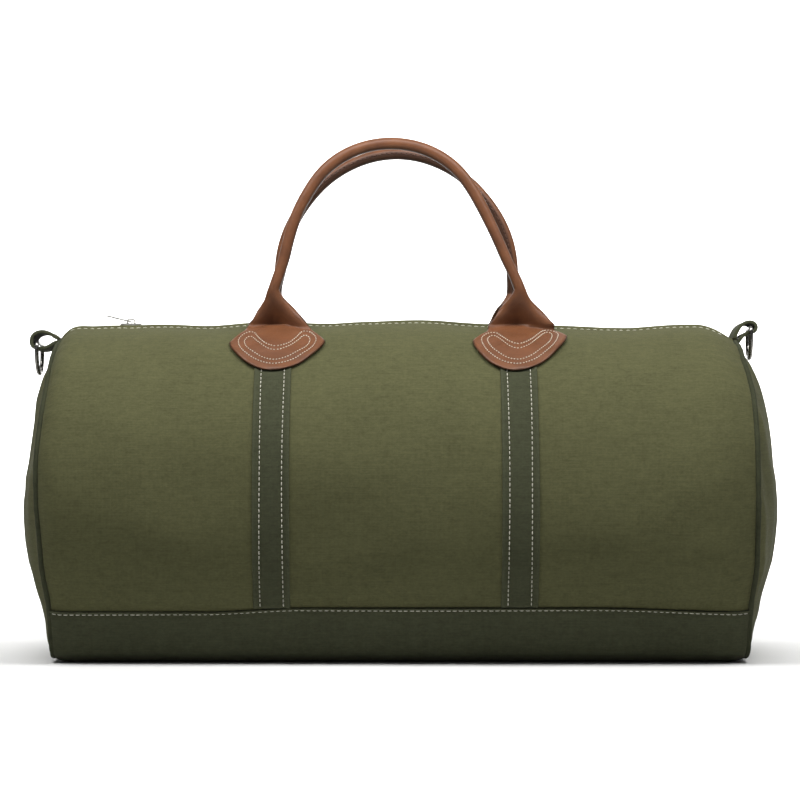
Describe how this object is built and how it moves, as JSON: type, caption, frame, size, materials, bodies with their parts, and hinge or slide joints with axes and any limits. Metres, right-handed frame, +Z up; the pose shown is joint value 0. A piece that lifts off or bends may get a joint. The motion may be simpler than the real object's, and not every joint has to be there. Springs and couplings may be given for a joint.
{
  "type": "duffel bag",
  "caption": "Barrel-shaped canvas duffel bag with a flat base, zip top, rolled leather handles on fan-shaped patches, sewn-on bands and a D-ring at each end.",
  "frame": {"origin": "on the floor under the middle of the bag", "axes": "+X along the barrel toward the end where the zip opens to, -Y is the front, +Z up"},
  "size_m": [0.59, 0.2646, 0.4076],
  "materials": {
    "canvas": "matt woven canvas",
    "canvas_dark": "matt woven canvas",
    "piping": "matt woven tape",
    "leather": "satin grain",
    "cord": "matt foam cord",
    "zip_tape": "matt woven tape",
    "zip_metal": "satin nickel",
    "ring_metal": "satin nickel",
    "board": "matt"
  },
  "bodies": {
    "bag": {"base_panel": "canvas_dark", "base_board": "board", "zip_bottom_stop": "zip_metal", "front_panel_lower": "canvas", "back_panel_lower": "canvas", "front_left_band_lower": "canvas_dark", "front_right_band_lower": "canvas_dark", "back_left_band_lower": "canvas_dark", "back_right_band_lower": "canvas_dark", "left_end_panel": "canvas", "left_piping": "piping", "left_piping_cord": "cord", "left_seam_binding": "piping", "left_zip_end": "canvas_dark", "right_end_panel": "canvas", "right_piping": "piping", "right_piping_cord": "cord", "right_seam_binding": "piping", "right_zip_end": "canvas_dark"},
    "mouth_front": {"front_panel_upper": "canvas", "front_zip_tape": "zip_tape", "front_zip_tape_edge": "zip_tape", "front_zip_teeth": "zip_metal", "front_zip_top_stop": "zip_metal", "front_left_band_upper": "canvas_dark", "front_left_patch": "leather", "front_right_band_upper": "canvas_dark", "front_right_patch": "leather"},
    "mouth_back": {"back_panel_upper": "canvas", "back_zip_tape": "zip_tape", "back_zip_tape_edge": "zip_tape", "back_zip_teeth": "zip_metal", "back_zip_top_stop": "zip_metal", "back_left_band_upper": "canvas_dark", "back_left_patch": "leather", "back_right_band_upper": "canvas_dark", "back_right_patch": "leather"},
    "handle_front": {"front_handle_tube": "leather", "front_handle_core": "cord", "front_left_neck": "leather", "front_right_neck": "leather"},
    "handle_back": {"back_handle_tube": "leather", "back_handle_core": "cord", "back_left_neck": "leather", "back_right_neck": "leather"},
    "zip_slider": {"zip_slider": "zip_metal"},
    "zip_pull": {"zip_pull": "zip_metal"},
    "tab_left": {"left_ring_tab": "canvas_dark"},
    "tab_right": {"right_ring_tab": "canvas_dark"},
    "ring_left": {"left_d_ring": "ring_metal"},
    "ring_right": {"right_d_ring": "ring_metal"}
  },
  "joints": [
    {"name": "zip_travel", "type": "slide", "parent": "bag", "child": "zip_slider", "axis": [1, 0, 0], "range_m": [0, 0.43]},
    {"name": "mouth_front_open", "type": "hinge", "parent": "bag", "child": "mouth_front", "pos_m": [0, -0.131, 0.131], "axis": [1, 0, 0], "range_deg": [0, 18], "deforming": ["front_zip_tape_edge", "front_zip_teeth", "front_zip_top_stop"]},
    {"name": "mouth_back_open", "type": "hinge", "parent": "bag", "child": "mouth_back", "pos_m": [0, 0.131, 0.131], "axis": [-1, 0, 0], "range_deg": [0, 18], "deforming": ["back_zip_tape_edge", "back_zip_teeth", "back_zip_top_stop"]},
    {"name": "zip_pull_swing", "type": "hinge", "parent": "zip_slider", "child": "zip_pull", "pos_m": [-0.215, 0, 0.26445], "axis": [0, 1, 0], "range_deg": [0, 150]},
    {"name": "handle_front_swing", "type": "hinge", "parent": "mouth_front", "child": "handle_front", "pos_m": [0, -0.043, 0.2608], "axis": [1, 0, 0], "range_deg": [-14, 100]},
    {"name": "handle_back_swing", "type": "hinge", "parent": "mouth_back", "child": "handle_back", "pos_m": [0, 0.043, 0.2608], "axis": [-1, 0, 0], "range_deg": [-14, 100]},
    {"name": "tab_left_lift", "type": "hinge", "parent": "bag", "child": "tab_left", "pos_m": [-0.272, 0, 0.2548], "axis": [0, 1, 0], "range_deg": [0, 70]},
    {"name": "tab_right_lift", "type": "hinge", "parent": "bag", "child": "tab_right", "pos_m": [0.272, 0, 0.2548], "axis": [0, -1, 0], "range_deg": [0, 50]},
    {"name": "ring_left_swing", "type": "hinge", "parent": "tab_left", "child": "ring_left", "pos_m": [-0.28831, 0, 0.24719], "axis": [0, 1, 0], "range_deg": [-4, 110]},
    {"name": "ring_right_swing", "type": "hinge", "parent": "tab_right", "child": "ring_right", "pos_m": [0.27932, 0, 0.25932], "axis": [0, -1, 0], "range_deg": [-1, 100]}
  ],
  "couplings": [
    {"joint": "mouth_front_open", "follows": "zip_travel", "rad_per_m": 0.7306},
    {"joint": "mouth_back_open", "follows": "zip_travel", "rad_per_m": 0.7306}
  ]
}
